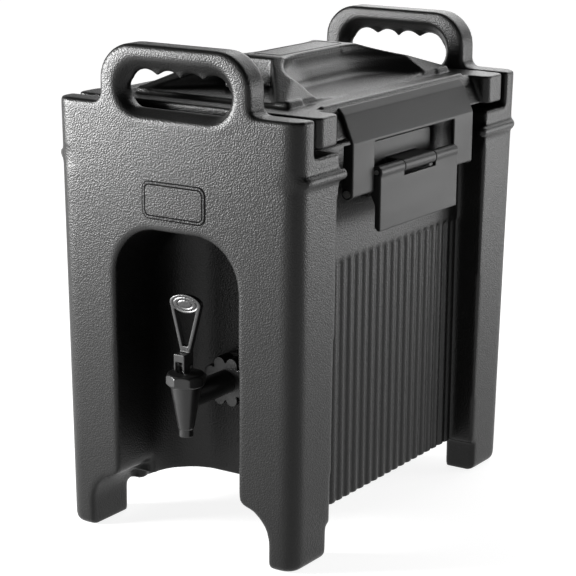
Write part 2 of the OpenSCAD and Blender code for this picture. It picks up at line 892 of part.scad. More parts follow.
// Ring between the vent cap and its bush
module vent_seal() {
    color("#a8a39a") translate([0, -vent_y, hollow_z + vent_flange_h]) difference() {
        cylinder(r = vent_flange_r, h = vent_seal_h);
        translate([0, 0, -past]) cylinder(r = vent_r + seat_gap, h = vent_seal_h + 2 * past);
    }
}

// Latches, drawn on the right side

// Four places behind the lever
module latch_screw_places() {
    side_in = 9;
    edge_in = 6.5;
    pitch = 12;
    side = base_half - side_in;
    low = hinge_z - base_drop + edge_in;
    for (y = [-side, side], z = [low, low + pitch]) translate([0, y, z]) children();
}

// Leaf on the recess, with the hinge's fixed middle knuckle
module latch_base() {
    leaf_r = 4;
    mid = mid_knuckle_w / 2;
    color("#3b3b3b") difference() {
        union() {
            along_x(recess_x, base_front) translate([0, hinge_z + (base_rise - base_drop) / 2])
                soft_square(2 * base_half, base_rise + base_drop, leaf_r);
            span([base_front - past, -mid, hinge_z - knuckle_r], [hinge_x, mid, hinge_z + knuckle_r]);
            rod_y(knuckle_r, -mid, mid, hinge_x, hinge_z);
        }
        rod_y(hinge_pin_r + run_gap, -mid - past, mid + past, hinge_x, hinge_z);
        latch_screw_places() {
            rod_x(screw_r + run_gap, recess_x - past, base_front + past);
            rod_x(2 * screw_r + run_gap, base_front - screw_r, base_front + past);
        }
    }
}

module hinge_pin() {
    color("#9a9a98") rod_y(hinge_pin_r, -lever_w / 2, lever_w / 2, hinge_x, hinge_z);
}

// Screws with a cross slot in a flat head
module latch_screws() {
    slot_l = 2.5 * screw_r;
    slot_w = screw_r * 0.45;
    slot_depth = screw_r * 0.8;
    color("#9a9a98") latch_screw_places() {
        rod_x(screw_r, space_x, base_front - screw_r / 2);
        difference() {
            rod_x(2 * screw_r, base_front - screw_r, base_front);
            for (a = [0, 90]) rotate([a, 0, 0])
                translate([base_front, 0, 0]) cube([slot_depth, slot_l, slot_w], center = true);
        }
    }
}

// Lever: a plate under two knuckles, with side flanges that carry the bail's pins
module lever() {
    half = lever_w / 2;
    face = hinge_x + knuckle_r - 1;
    back = face - lever_t;
    low = hinge_z - lever_l;
    notch = mid_knuckle_w / 2 + seat_gap;
    slot_h = 2;
    rib = 2;
    color("#454545") difference() {
        union() {
            span([back, -half, low], [face, half, hinge_z]);
            both_ends() {
                rod_y(knuckle_r, notch, half, hinge_x, hinge_z);
                along_y(half - lever_t, half) {
                    translate([pivot_x, pivot_z]) circle(bail_eye_r);
                    polygon([
                        [face - lever_t / 2, hinge_z],
                        [hinge_x - knuckle_r, hinge_z],
                        [pivot_x - bail_eye_r, pivot_z],
                        [pivot_x, pivot_z - bail_eye_r],
                        [back - rib, pivot_z - 3 * bail_eye_r],
                        [back - rib, low + rib],
                        [face - lever_t / 2, low + rib]
                    ]);
                }
            }
        }
        span(
            [hinge_x - 2 * knuckle_r, -notch, hinge_z - knuckle_r - slot_h],
            [face + past, notch, hinge_z + knuckle_r]
        );
        rod_y(hinge_pin_r + run_gap, -half - past, half + past, hinge_x, hinge_z);
        rod_y(bail_pin_r + run_gap, -half - past, half + past, pivot_x, pivot_z);
    }
}

// Bail: a frame whose upper plate bends over the lid, on two legs with flanged edges
module bail() {
    outer = bail_line(0, leg_low);
    inner = bail_line(bail_t, leg_low);
    flange = bail_line(bail_t * 3.2, leg_low);
    open_top = bend_z - bail_t * 2 / 3;
    color("#4a4a4a") difference() {
        union() {
            along_y(-bail_half, bail_half) polygon(concat(outer, flipped(inner)));
            both_ends() {
                along_y(bail_half - bail_t, bail_half) bail_flange(outer, flange);
                along_y(bail_open_half, bail_open_half + bail_t) bail_ear();
            }
        }
        span([0, -bail_open_half, 0], [2 * bail_x, bail_open_half, open_top]);
        rod_y(bail_pin_r + run_gap, -bail_half - past, bail_half + past, pivot_x, pivot_z);
    }
}

// Outer edge of the bail, down to the round eye of its pin
module bail_flange(outer, flange) {
    polygon([
        outer[0],
        outer[1],
        flange[1],
        [pivot_x - bail_eye_r, pivot_z],
        [pivot_x, pivot_z - bail_eye_r]
    ]);
    translate([pivot_x, pivot_z]) circle(bail_eye_r);
}

// Inner edge of a leg, only round the pin
module bail_ear() {
    translate([pivot_x, pivot_z]) circle(bail_eye_r);
    polygon([
        [bail_x - bail_t / 2, leg_low],
        [bail_x - bail_t / 2, pivot_z + 3 * bail_eye_r],
        [pivot_x - bail_eye_r, pivot_z],
        [pivot_x, pivot_z - bail_eye_r]
    ]);
}

module bail_pins() {
    head_h = 1.2;
    head_out = 1;
    inner = lever_w / 2 - lever_t - past;
    color("#9a9a98") both_ends() {
        rod_y(bail_pin_r, inner, bail_half + head_h / 2, pivot_x, pivot_z);
        rod_y(bail_pin_r + head_out, bail_half, bail_half + head_h, pivot_x, pivot_z);
    }
}

// Tap

// Threaded tube through the wall, with a flange inside the tank
module tap_shank() {
    inner = tank_front + tank_t + washer_t;
    flange_l = 4;
    color("#1d1d1d") difference() {
        union() {
            rod_y(shank_r, shank_tip, inner + past, 0, shank_z);
            rod_y(shank_r + flange_out, inner, inner + flange_l, 0, shank_z);
        }
        rod_y(shank_bore_r, shank_tip - past, inner + flange_l + past, 0, shank_z);
    }
}

module tap_inner_seal() {
    inner = tank_front + tank_t;
    color("#a8a39a") difference() {
        rod_y(shank_r + flange_out, inner, inner + washer_t, 0, shank_z);
        rod_y(shank_r + run_gap, inner - past, inner + washer_t + past, 0, shank_z);
    }
}

module tap_washer() {
    color("#2a2a2a") difference() {
        rod_y(nut_r - past, alcove_y - washer_t, alcove_y, 0, shank_z);
        rod_y(shank_r + run_gap, alcove_y - washer_t - past, alcove_y + past, 0, shank_z);
    }
}

// Hand nut with round lobes
module tap_nut() {
    lobe_r = nut_r * 0.27;
    color("#1b1b1b") along_y(nut_front, alcove_y - washer_t) translate([0, shank_z]) difference() {
        union() {
            circle(nut_r - lobe_r);
            for (i = [0 : nut_lobes - 1]) rotate((i + 0.5) * 360 / nut_lobes)
                translate([nut_r - lobe_r, 0]) circle(lobe_r);
        }
        circle(shank_r + run_gap);
    }
}

// Tapered upright body with a tail that screws on the shank
module tap_body() {
    tail_t = 2.5;
    seat_in = 1;
    color("#1a1a1a") difference() {
        union() {
            translate([0, tap_y, tap_low]) cylinder(r1 = tap_low_r, r2 = tap_r, h = tap_l);
            translate([0, tap_y, tap_low - nozzle_l]) cylinder(r = nozzle_r, h = nozzle_l + past);
            rod_y(shank_r + tail_t, tap_y, nut_front - seat_gap, 0, shank_z);
        }
        translate([0, tap_y, seat_z]) cylinder(r = chamber_r - seat_in, h = tap_l);
        translate([0, tap_y, shank_z - shank_bore_r - past]) cylinder(r = chamber_r, h = tap_l);
        translate([0, tap_y, tap_low - nozzle_l - past])
            cylinder(r = outlet_r, h = tap_l / 2 + nozzle_l);
        rod_y(shank_bore_r, tap_y, nut_front, 0, shank_z);
        rod_y(shank_r + run_gap, shank_tip, nut_front + past, 0, shank_z);
    }
}

// Cap over the tap's chamber, with flats and bevelled edges
module tap_bonnet() {
    corner = bonnet_af / 2 / cos(180 / bonnet_flats) + past;
    rim = bonnet_af / 2 - past;
    bevel = corner - rim;
    color("#202020") translate([0, tap_y, tap_top]) difference() {
        intersection() {
            cylinder(r = corner - past, h = bonnet_h, $fn = bonnet_flats);
            rotate_extrude() polygon([
                [0, 0], [rim, 0], [corner, bevel],
                [corner, bonnet_h - bevel], [rim, bonnet_h], [0, bonnet_h]
            ]);
        }
        translate([0, 0, -past]) cylinder(r = chamber_r, h = bonnet_h - bonnet_wall + past);
        cylinder(r = stem_r + run_gap, h = bonnet_h + past);
    }
}

// Stem with a cross bore for the handle's pin
module tap_stem() {
    eye_r = stem_r + 0.4;
    low = seat_z + past;
    color("#8f8f8c") translate([0, tap_y, 0]) difference() {
        union() {
            translate([0, 0, low]) cylinder(r = stem_r, h = handle_pin_z + stem_r - low);
            translate([0, 0, handle_pin_z]) rotate([0, 90, 0])
                cylinder(r = eye_r, h = stem_r * 2, center = true);
        }
        translate([0, 0, handle_pin_z]) rotate([0, 90, 0])
            cylinder(r = handle_pin_r + run_gap, h = 3 * stem_r, center = true);
    }
}

// Soft cup that closes the outlet
module tap_seat_cup() {
    color("#b0aca2") translate([0, tap_y, 0]) difference() {
        translate([0, 0, seat_z]) cylinder(r = chamber_r - 1.5 * past, h = cup_h);
        translate([0, 0, seat_z + past]) cylinder(r = stem_r, h = cup_h);
    }
}

// Return spring, one wire wound between the cup and the bonnet
module tap_spring() {
    sides = 6;
    steps = 12 * spring_turns;
    wire_r = spring_wire / 2;
    end_gap = 0.1;
    low = spring_low + wire_r + end_gap;
    rise = spring_high - spring_low - spring_wire - 2 * end_gap;
    points = [
        for (i = [0 : steps], j = [0 : sides - 1])
        let (
            turn = 360 * spring_turns * i / steps,
            side = 360 * j / sides,
            out = spring_r + wire_r * cos(side)
        )
        [out * cos(turn), out * sin(turn), low + rise * i / steps + wire_r * sin(side)]
    ];
    wall = [
        for (i = [0 : steps - 1], j = [0 : sides - 1])
        let (a = i * sides + j, b = i * sides + (j + 1) % sides)
        each [[a, a + sides, b], [b, a + sides, b + sides]]
    ];
    first = [for (j = [1 : sides - 2]) [0, j, j + 1]];
    last = [for (j = [1 : sides - 2]) [steps * sides, steps * sides + j + 1, steps * sides + j]];
    echo(spring_gap = rise / spring_turns - spring_wire);
    color("#a5a5a3") translate([0, tap_y, 0]) polyhedron(points, concat(wall, first, last));
}

// Finger loop on a fork, with a round cam that lifts the stem as the loop is pulled forward
module tap_handle() {
    cam_r = pin_rise - seat_gap;
    cam_off = 4.5;
    slot_half = stem_r + 0.5;
    slot_top = handle_pin_z + stem_r + 2;
    front = tap_y - cam_off - cam_r;
    rear = tap_y + handle_t / 2;
    ring_depth = 0.6;
    color("#1e1e1e") difference() {
        union() {
            intersection() {
                union() {
                    rod_x(cam_r, -fork_w / 2, fork_w / 2, tap_y - cam_off, handle_pin_z);
                    span([-fork_w / 2, front, handle_pin_z], [fork_w / 2, rear, fork_top]);
                    rod_x(handle_t / 2, -fork_w / 2, fork_w / 2, tap_y, handle_pin_z);
                }
                span([-fork_w, front, bonnet_top], [fork_w, rear, fork_top]);
            }
            along_y(rear - loop_t, rear) loop_outline();
        }
        span([-slot_half, front - past, bonnet_top], [slot_half, rear + past, slot_top]);
        rod_x(handle_pin_r + run_gap, -fork_w, fork_w, tap_y, handle_pin_z);
        along_y(rear - loop_t - past, rear - loop_t + ring_depth) pad_rings();
        along_y(rear - ring_depth, rear + past) pad_rings();
    }
}

// Keyhole-shaped loop: two arms that spread upward to an oval pad
module loop_outline() {
    window_low = fork_top + 1.5 * loop_arm;
    window_half = neck_half - loop_arm / 2;
    difference() {
        union() {
            translate([0, pad_z]) polygon(oval(pad_half, pad_rise));
            polygon([
                [-neck_half, fork_top - past], [neck_half, fork_top - past],
                [pad_half, pad_z], [-pad_half, pad_z]
            ]);
        }
        difference() {
            polygon([
                [-window_half, window_low], [window_half, window_low],
                [pad_half - loop_arm, pad_z], [loop_arm - pad_half, pad_z]
            ]);
            translate([0, pad_z]) polygon(oval(pad_half - loop_arm / 2, pad_rise));
        }
    }
}

// Two oval rings round the middle of the pad
module pad_rings() {
    ring_w = 1;
    for (share = [0.8, 0.5]) translate([0, pad_z]) difference() {
        polygon(oval(share * pad_half, share * pad_rise));
        polygon(oval(share * pad_half - ring_w, share * pad_rise - ring_w));
    }
}

module tap_handle_pin() {
    color("#9a9a98") rod_x(handle_pin_r, -fork_w / 2, fork_w / 2, tap_y, handle_pin_z);
}

outer_shell();
foam_core();
inner_tank();
lid_shell();
lid_foam();
lid_liner();
lid_gasket();
vent_bush();
vent_cap();
vent_seal();
latch_base();  // right_latch_base
hinge_pin();  // right_hinge_pin
latch_screws();  // right_latch_screws
lever();  // right_lever
bail();  // right_bail
bail_pins();  // right_bail_pins
mirror([1, 0, 0]) latch_base();  // left_latch_base
mirror([1, 0, 0]) hinge_pin();  // left_hinge_pin
mirror([1, 0, 0]) latch_screws();  // left_latch_screws
mirror([1, 0, 0]) lever();  // left_lever
mirror([1, 0, 0]) bail();  // left_bail
mirror([1, 0, 0]) bail_pins();  // left_bail_pins
tap_shank();
tap_inner_seal();
tap_washer();
tap_nut();
tap_body();
tap_bonnet();
tap_stem();
tap_seat_cup();
tap_spring();
tap_handle();
tap_handle_pin();
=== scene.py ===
"""Looks of the insulated beverage dispenser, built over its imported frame."""

import json
import math

import bmesh
import bpy
from mathutils import Matrix, Vector


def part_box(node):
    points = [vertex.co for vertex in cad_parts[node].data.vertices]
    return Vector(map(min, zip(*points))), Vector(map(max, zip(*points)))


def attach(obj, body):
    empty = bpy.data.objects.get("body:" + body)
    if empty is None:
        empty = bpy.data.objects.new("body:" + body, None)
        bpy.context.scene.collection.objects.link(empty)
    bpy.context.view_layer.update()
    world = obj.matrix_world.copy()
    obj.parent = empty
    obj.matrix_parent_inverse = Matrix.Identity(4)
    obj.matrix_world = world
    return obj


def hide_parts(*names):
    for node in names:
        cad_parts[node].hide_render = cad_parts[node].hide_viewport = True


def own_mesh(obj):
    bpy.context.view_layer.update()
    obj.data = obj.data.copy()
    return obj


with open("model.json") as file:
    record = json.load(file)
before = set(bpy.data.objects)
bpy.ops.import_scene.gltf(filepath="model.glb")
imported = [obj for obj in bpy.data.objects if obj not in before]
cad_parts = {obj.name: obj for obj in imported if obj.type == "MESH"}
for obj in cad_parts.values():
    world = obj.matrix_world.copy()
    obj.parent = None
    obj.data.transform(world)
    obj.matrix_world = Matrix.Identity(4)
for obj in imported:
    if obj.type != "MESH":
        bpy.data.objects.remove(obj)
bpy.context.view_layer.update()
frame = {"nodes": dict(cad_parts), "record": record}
BODY_OF = {node: body for body, nodes in frame["record"]["behaviour"]["bodies"].items() for node in nodes}
SLOT_OF = {entry["node"]: entry["material_slot"] for entry in frame["record"]["subparts"]}

bl_info = {
    "name": "Beverage Dispenser Looks",
    "version": (1, 0, 0),
    "blender": (4, 5, 0),
    "location": "3D View > Sidebar > Dispenser",
    "description": "Moulded shell, latches, tap and studio for the insulated beverage dispenser",
    "category": "Object",
}

# Meshes, with lengths in metres and angles in radians
WELD_DISTANCE = 1e-6
SMOOTH_FACTOR = 0.5
CORNER_SEGMENTS = 8
PLATE_EDGE_SEGMENTS = 2
PLATE_EDGE_SHARE = 0.45
SHARP_ANGLE = 1.0

# Most triangles that a softened piece keeps
SHELL_TRIANGLES = 190000
LID_TRIANGLES = 180000
LATCH_TRIANGLES = {"latch_base": 40000, "lever": 60000, "bail": 80000}
TAP_TRIANGLES = 60000
VENT_TRIANGLES = 40000

# How far the edges of the tap's and the vent's pieces are rounded
TAP_EDGES = {"tap_nut": 0.0006, "tap_body": 0.0003, "tap_bonnet": 0.0005, "tap_handle": 0.0004}
VENT_EDGE = 0.0004

# The shell's ribs, and the bead round its posts with the place where it runs out in front
RIBS_INNER_X = 0.085
RIBS_END_Y = 0.127
RIBS_TOP_Z = 0.252
POST_BEAD_Z = 0.330
POST_BEAD_HALF = 0.010
POST_BEAD_DEPTH = 0.010
BEAD_END_DEPTH = 0.009
BEAD_END_WIDTH = 0.030

# The beads along the lid's rim, and the grooves beside its plateau
RIM_BEAD_X = 0.098
RIM_BEAD_HALF = 0.005
RIM_BEAD_FROM_Z = 0.378
PLATEAU_GROOVE_X = 0.0195
PLATEAU_GROOVE_HALF = 0.004
PLATEAU_GROOVE_DROP = 0.005
PLATEAU_GROOVE_DEPTH = 0.003

# The line round the lid's plateau, and the height of the label's grooves as a share of its rise
LID_PANEL = {"width": 0.029, "height": 0.104, "corner": 0.004, "rise": 0.0004, "line": 0.0010}
LABEL_GROOVE_SHARE = 0.7

# Values between which a noise pattern mostly lies, and those of the pebbles
NOISE_SPAN = (0.3, 0.7)
PEBBLE_SPAN = (0.0, 1.0)
PEBBLE_SMOOTHNESS = 0.25
PEBBLE_RADIUS = 0.8

# Size, place and target of each lamp
LAMPS = {
    "key": ((0.3, 0.3), (-0.80, -0.80, 0.38), (-0.03, -0.19, 0.33)),
    "side": ((0.5, 0.5), (0.80, 0.88, 0.29), (0.12, 0.0, 0.22)),
    "top": ((1.3, 0.9), (-0.15, 1.20, 1.02), (0.0, 0.0, 0.40)),
}

# The white of the floor by distance from the object, and of the surroundings by height over the horizon
WHITE = (1.0, 1.0, 1.0, 1.0)
FLOOR_REACH = 6.0
FLOOR_ROUGHNESS = 0.9
FLOOR_WHITE = {"low": 0.35, "high": 1.1, "to_low": 0.88, "to_high": 1.0}
HORIZON_WHITE = {"low": 0.05, "high": 0.35, "to_low": 1.0, "to_high": 0.0}

CAMERA_SENSOR = 36.0
CAMERA_SIGHT = 50.0


class MouldedFinish(bpy.types.PropertyGroup):
    """Rotationally moulded shell and lid"""

    color: bpy.props.FloatVectorProperty(
        name="Colour", description="Charcoal of the moulded shell and lid",
        subtype="COLOR", size=3, min=0.0, max=1.0, default=(0.008, 0.008, 0.0078))
    gloss: bpy.props.FloatProperty(
        name="Gloss", description="Specular level of the moulded plastic",
        min=0.0, max=1.0, default=0.28)
    grain: bpy.props.FloatProperty(
        name="Grain", description="Size of one pebble of the moulding grain",
        unit="LENGTH", min=0.0005, max=0.01, precision=4, default=0.0014)
    grain_depth: bpy.props.FloatProperty(
        name="Grain Depth", description="Height of the pebbles over their valleys",
        unit="LENGTH", min=0.0, max=0.001, precision=5, default=0.00017)
    shell_voxel: bpy.props.FloatProperty(
        name="Shell Mesh Size", description="Mesh size of the softened shell",
        unit="LENGTH", min=0.0008, max=0.01, precision=4, default=0.0016)
    shell_edge: bpy.props.FloatProperty(
        name="Shell Edge", description="How far the shell's edges are rounded",
        unit="LENGTH", min=0.0, max=0.01, precision=4, default=0.0022)
    shell_fine_edge: bpy.props.FloatProperty(
        name="Shell Fine Edge", description="How far the edges of the ribs and the posts' bead are rounded",
        unit="LENGTH", min=0.0, max=0.01, precision=4, default=0.0008)
    bead_end: bpy.props.FloatProperty(
        name="Bead End", description="How far the posts' bead is smoothed away on the front wall",
        unit="LENGTH", min=0.0, max=0.02, precision=4, default=0.0070)
    lid_voxel: bpy.props.FloatProperty(
        name="Lid Mesh Size", description="Mesh size of the softened lid",
        unit="LENGTH", min=0.0006, max=0.01, precision=4, default=0.0011)
    lid_edge: bpy.props.FloatProperty(
        name="Lid Edge", description="How far the lid's edges are rounded",
        unit="LENGTH", min=0.0, max=0.01, precision=4, default=0.0016)
    lid_fine_edge: bpy.props.FloatProperty(
        name="Lid Fine Edge", description="How far the edges of the lid's beads and grooves are rounded",
        unit="LENGTH", min=0.0, max=0.01, precision=5, default=0.00055)


class LatchFinish(bpy.types.PropertyGroup):
    """Injection-moulded latch pieces"""

    color: bpy.props.FloatVectorProperty(
        name="Colour", description="Grey-black of the latches",
        subtype="COLOR", size=3, min=0.0, max=1.0, default=(0.012, 0.012, 0.0118))
    gloss: bpy.props.FloatProperty(
        name="Gloss", description="Specular level of the latches' plastic",
        min=0.0, max=1.0, default=0.28)
    voxel: bpy.props.FloatProperty(
        name="Mesh Size", description="Mesh size of the softened latch pieces",
        unit="LENGTH", min=0.0003, max=0.005, precision=4, default=0.0006)
    edge: bpy.props.FloatProperty(
        name="Edge", description="How far the edges of the latch pieces are rounded",
        unit="LENGTH", min=0.0, max=0.005, precision=4, default=0.0006)


class TapFinish(bpy.types.PropertyGroup):
    """Tap and vent pieces"""

    color: bpy.props.FloatVectorProperty(
        name="Colour", description="Black of the tap",
        subtype="COLOR", size=3, min=0.0, max=1.0, default=(0.008, 0.008, 0.008))
    voxel: bpy.props.FloatProperty(
        name="Mesh Size", description="Mesh size of the softened tap pieces",
        unit="LENGTH", min=0.0002, max=0.003, precision=4, default=0.0004)


class LabelPlace(bpy.types.PropertyGroup):
    """Bare label place on the front wall"""

    width: bpy.props.FloatProperty(
        name="Width", description="Width of the outer line",
        unit="LENGTH", min=0.02, max=0.1, default=0.064)
    height: bpy.props.FloatProperty(
        name="Height", description="Height of the outer line",
        unit="LENGTH", min=0.01, max=0.06, default=0.0325)
    middle: bpy.props.FloatProperty(
        name="Middle", description="Height of the label place's middle above the floor",
        unit="LENGTH", min=0.2, max=0.4, default=0.3024)
    corner: bpy.props.FloatProperty(
        name="Corner", description="Radius of the outer line's corners",
        unit="LENGTH", min=0.001, max=0.01, default=0.0075)
    line: bpy.props.FloatProperty(
        name="Line", description="Width of one groove",
        unit="LENGTH", min=0.0003, max=0.003, precision=4, default=0.0010)
    rim: bpy.props.FloatProperty(
        name="Rim", description="Width of the rim between the two grooves",
        unit="LENGTH", min=0.0005, max=0.005, precision=4, default=0.0016)
    rise: bpy.props.FloatProperty(
        name="Rise", description="Height of rim and panel over the wall",
        unit="LENGTH", min=0.0002, max=0.001, precision=5, default=0.0006)


class StudioLook(bpy.types.PropertyGroup):
    """Floor, lamps and camera"""

    floor: bpy.props.FloatVectorProperty(
        name="Floor", description="Colour of the floor",
        subtype="COLOR", size=3, min=0.0, max=1.0, default=(0.30, 0.30, 0.30))
    key: bpy.props.FloatProperty(
        name="Key", description="Power of the lamp in front, at the left",
        unit="POWER", min=0.0, max=500.0, default=32.0)
    side: bpy.props.FloatProperty(
        name="Side", description="Power of the lamp behind, at the right",
        unit="POWER", min=0.0, max=500.0, default=5.6)
    top: bpy.props.FloatProperty(
        name="Top", description="Power of the lamp above and behind",
        unit="POWER", min=0.0, max=500.0, default=12.0)
    ambient: bpy.props.FloatProperty(
        name="Ambient", description="Strength of the light from all round",
        min=0.0, max=2.0, default=0.06)
    yaw: bpy.props.FloatProperty(
        name="Camera Turn", description="Turn of the camera to the right of the front",
        subtype="ANGLE", default=math.radians(32.74))
    pitch: bpy.props.FloatProperty(
        name="Camera Tilt", description="Downward tilt of the camera",
        subtype="ANGLE", default=math.radians(14.14))
    roll: bpy.props.FloatProperty(
        name="Camera Roll", description="Roll of the camera",
        subtype="ANGLE", default=math.radians(0.52))
    place: bpy.props.FloatVectorProperty(
        name="Camera Place", description="Where the camera stands",
        subtype="TRANSLATION", unit="LENGTH", size=3, default=(0.95396, -1.49764, 0.63879))
    lens: bpy.props.FloatProperty(
        name="Lens", description="Focal length on a 36 mm sensor, in millimetres",
        min=20.0, max=300.0, default=125.87)


# Meshes

def new_piece(name, mesh):
    """A new object at the origin that holds the mesh."""
    piece = bpy.data.objects.new(name, mesh)
    bpy.context.scene.collection.objects.link(piece)
    return piece


def piece_of(shape, name):
    """A new object that holds the shape, which is used up."""
    mesh = bpy.data.meshes.new(name)
    shape.to_mesh(mesh)
    shape.free()
    return new_piece(name, mesh)


def welded_copy(node, name):
    """A copy of a CAD node's mesh with its triangles joined, as a new object."""
    mesh = frame["nodes"][node].data.copy()
    mesh.materials.clear()
    shape = bmesh.new()
    shape.from_mesh(mesh)
    bmesh.ops.remove_doubles(shape, verts=shape.verts, dist=WELD_DISTANCE)
    shape.to_mesh(mesh)
    shape.free()
    return new_piece(name, mesh)


def apply_modifiers(piece):
    """Turns the piece's modifiers into its mesh."""
    bpy.context.view_layer.update()
    graph = bpy.context.evaluated_depsgraph_get()
    worn = piece.data
    piece.data = bpy.data.meshes.new_from_object(piece.evaluated_get(graph))
    piece.modifiers.clear()
    bpy.data.meshes.remove(worn)


def soften(piece, voxel, reach, triangles):
    """Gives a piece the round edges of a moulding: an even mesh, relaxed over a reach and thinned.

    The reach is in metres, or a function that gives it for a point. It grows with the root of the
    number of passes."""
    even = piece.modifiers.new("even_mesh", "REMESH")
    even.mode = "VOXEL"
    even.voxel_size = voxel * 1.0
    size = even.voxel_size
    apply_modifiers(piece)
    shape = bmesh.new()
    shape.from_mesh(piece.data)
    by_passes = {}
    for vert in shape.verts:
        local = reach(vert.co) if callable(reach) else reach
        by_passes.setdefault(max(1, round((2.0 * local / size) ** 2)), []).append(vert)
    for turn in range(max(by_passes)):
        loose = [vert for passes, verts in by_passes.items() if passes > turn for vert in verts]
        bmesh.ops.smooth_vert(
            shape, verts=loose, factor=SMOOTH_FACTOR, use_axis_x=True, use_axis_y=True, use_axis_z=True)
    shape.to_mesh(piece.data)
    count = sum(len(face.verts) - 2 for face in shape.faces)
    shape.free()
    if count > triangles:
        thin = piece.modifiers.new("thin_flats", "DECIMATE")
        thin.ratio = triangles / count
        apply_modifiers(piece)
    piece.data.shade_smooth()


def moulded(node, name, material, voxel, reach, triangles):
    """Softened stand-in for a CAD node, on the same body."""
    piece = welded_copy(node, name)
    soften(piece, voxel, reach, triangles)
    piece.data.materials.append(material)
    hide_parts(node)
    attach(piece, BODY_OF[node])
    return piece


def dress(node, material):
    """Gives a CAD node that stays its finished material."""
    mesh = frame["nodes"][node].data
    mesh.materials.clear()
    mesh.materials.append(material)


def raised_plate(name, width, height, corner, rise, place, line=None):
    """Raised rectangle with round corners on the plane of place, or its outline if line gives a width."""
    shape = bmesh.new()
    bmesh.ops.create_grid(shape, x_segments=1, y_segments=1, size=0.5)
    bmesh.ops.scale(shape, vec=(width, height, 1.0), verts=shape.verts)
    bmesh.ops.bevel(
        shape, geom=shape.verts[:], offset=corner, segments=CORNER_SEGMENTS, profile=0.5,
        affect="VERTICES", material=-1)
    if line is not None:
        inner = shape.faces[:]
        bmesh.ops.inset_region(
            shape, faces=inner, thickness=line, use_boundary=True, use_even_offset=True)
        bmesh.ops.delete(shape, geom=inner, context="FACES")
    raised = bmesh.ops.extrude_face_region(shape, geom=shape.faces[:])
    top = [item for item in raised["geom"] if isinstance(item, bmesh.types.BMVert)]
    bmesh.ops.translate(shape, vec=(0.0, 0.0, rise), verts=top)
    top_edges = [
        edge for edge in shape.edges
        if all(vert in top for vert in edge.verts) and len(edge.link_faces) == 2
        and edge.calc_face_angle(0.0) > SHARP_ANGLE]
    bmesh.ops.bevel(
        shape, geom=top_edges, offset=rise * PLATE_EDGE_SHARE, segments=PLATE_EDGE_SEGMENTS, profile=0.5,
        affect="EDGES", material=-1)
    bmesh.ops.recalc_face_normals(shape, faces=shape.faces)
    bmesh.ops.transform(shape, matrix=place, verts=shape.verts)
    return piece_of(shape, name)


# Materials

def start_material(name):
    """A material with its tree, its surface shader and the Object coordinates."""
    material = bpy.data.materials.new(name)
    material.use_nodes = True
    tree = material.node_tree
    coordinates = tree.nodes.new("ShaderNodeTexCoord")
    return material, tree, tree.nodes["Principled BSDF"], coordinates.outputs["Object"]


def noise(tree, place, scale, detail=2.0, stretch=None):
    """Value of a noise pattern, drawn out along an axis if stretch is given."""
    if stretch is not None:
        mapping = tree.nodes.new("ShaderNodeMapping")
        mapping.inputs["Scale"].default_value = stretch
        tree.links.new(place, mapping.inputs["Vector"])
        place = mapping.outputs["Vector"]
    pattern = tree.nodes.new("ShaderNodeTexNoise")
    pattern.inputs["Scale"].default_value = scale
    pattern.inputs["Detail"].default_value = detail
    tree.links.new(place, pattern.inputs["Vector"])
    return pattern.outputs["Fac"]


def pebbles(tree, place, scale):
    """Height of a pebbled surface, high in the middle of each cell."""
    cells = tree.nodes.new("ShaderNodeTexVoronoi")
    cells.feature = "SMOOTH_F1"
    cells.inputs["Scale"].default_value = scale
    cells.inputs["Smoothness"].default_value = PEBBLE_SMOOTHNESS
    tree.links.new(place, cells.inputs["Vector"])
    return spread(tree, cells.outputs["Distance"], low=0.0, high=PEBBLE_RADIUS, to_low=1.0, to_high=0.0)


def spread(tree, value, low, high, to_low, to_high):
    """Value moved from one range to another."""
    node = tree.nodes.new("ShaderNodeMapRange")
    for name, number in (("From Min", low), ("From Max", high), ("To Min", to_low), ("To Max", to_high)):
        node.inputs[name].default_value = number
    tree.links.new(value, node.inputs["Value"])
    return node.outputs["Result"]


def combine(tree, operation, first, second):
    """Value that an operation makes of two others."""
    node = tree.nodes.new("ShaderNodeMath")
    node.operation = operation
    tree.links.new(first, node.inputs[0])
    tree.links.new(second, node.inputs[1])
    return node.outputs[0]


def tint(tree, shader, value, dark, light):
    """Base colour that runs from dark to light with a noise pattern."""
    ramp = tree.nodes.new("ShaderNodeValToRGB")
    for stop, position, color in zip(ramp.color_ramp.elements, NOISE_SPAN, (dark, light)):
        stop.position = position
        stop.color = (*color, 1.0)
    tree.links.new(value, ramp.inputs["Fac"])
    tree.links.new(ramp.outputs["Color"], shader.inputs["Base Color"])


def roughen(tree, shader, value, to_low, to_high, span=NOISE_SPAN):
    """Roughness that runs from one value to another with a pattern."""
    tree.links.new(spread(tree, value, *span, to_low, to_high), shader.inputs["Roughness"])


def relief(tree, shader, height, depth, below=None):
    """Bump of the given depth on the shader, on top of another one if given."""
    bump = tree.nodes.new("ShaderNodeBump")
    bump.inputs["Strength"].default_value = 1.0
    bump.inputs["Distance"].default_value = depth
    tree.links.new(height, bump.inputs["Height"])
    if below is not None:
        tree.links.new(below, bump.inputs["Normal"])
    tree.links.new(bump.outputs["Normal"], shader.inputs["Normal"])
    return bump.outputs["Normal"]


def shade(color, factor):
    """The colour made lighter or darker."""
    return tuple(min(1.0, part * factor) for part in color)


